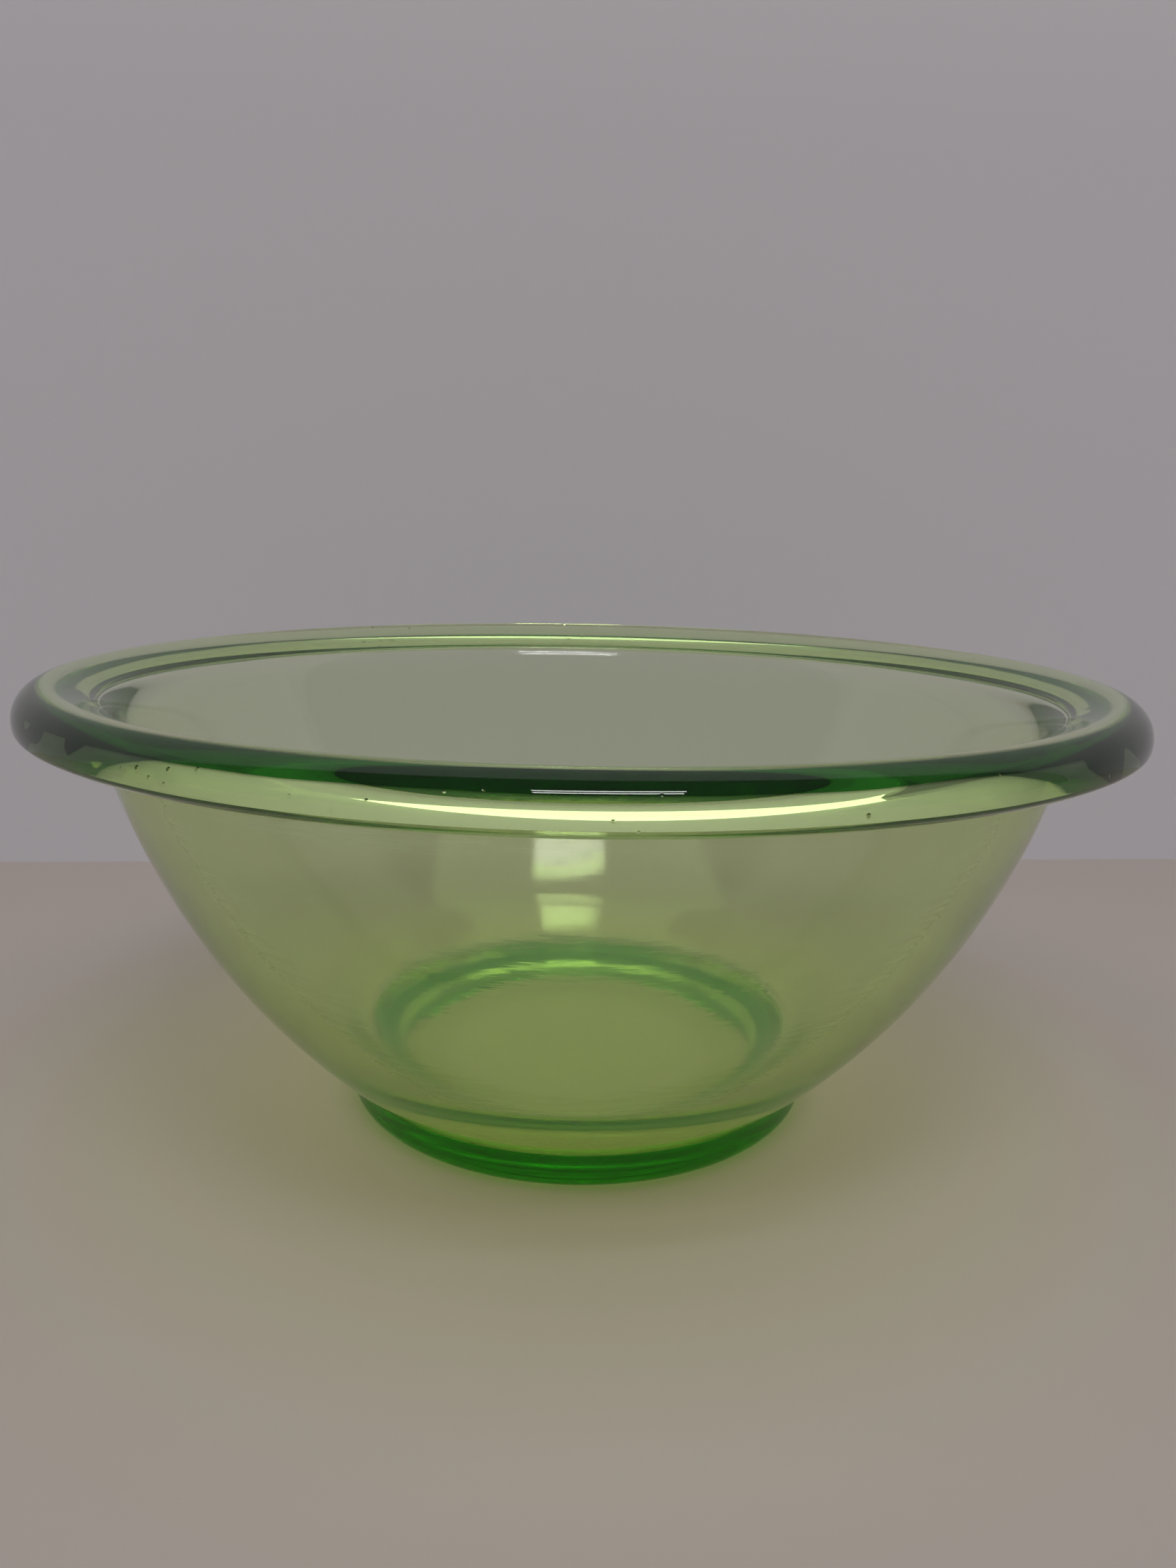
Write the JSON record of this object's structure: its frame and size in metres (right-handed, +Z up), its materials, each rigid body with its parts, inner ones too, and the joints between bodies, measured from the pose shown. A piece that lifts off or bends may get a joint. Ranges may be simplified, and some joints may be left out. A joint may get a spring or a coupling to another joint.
{
  "type": "green glass mixing bowl",
  "caption": "Deep round pressed-glass bowl in clear yellow-green glass, with a thick turned-out lip, a bulged side wall and a short solid foot.",
  "frame": {"origin": "centre of the foot's resting ring, on the surface that the bowl stands on", "axes": "+Z up along the bowl's axis; +X and +Y are alike, because the bowl is round"},
  "size_m": [0.19, 0.19, 0.0801],
  "materials": {
    "green_glass": "clear, fire polished, lightly scratched"
  },
  "bodies": {
    "root": {"glass_bowl": "green_glass"}
  },
  "joints": []
}
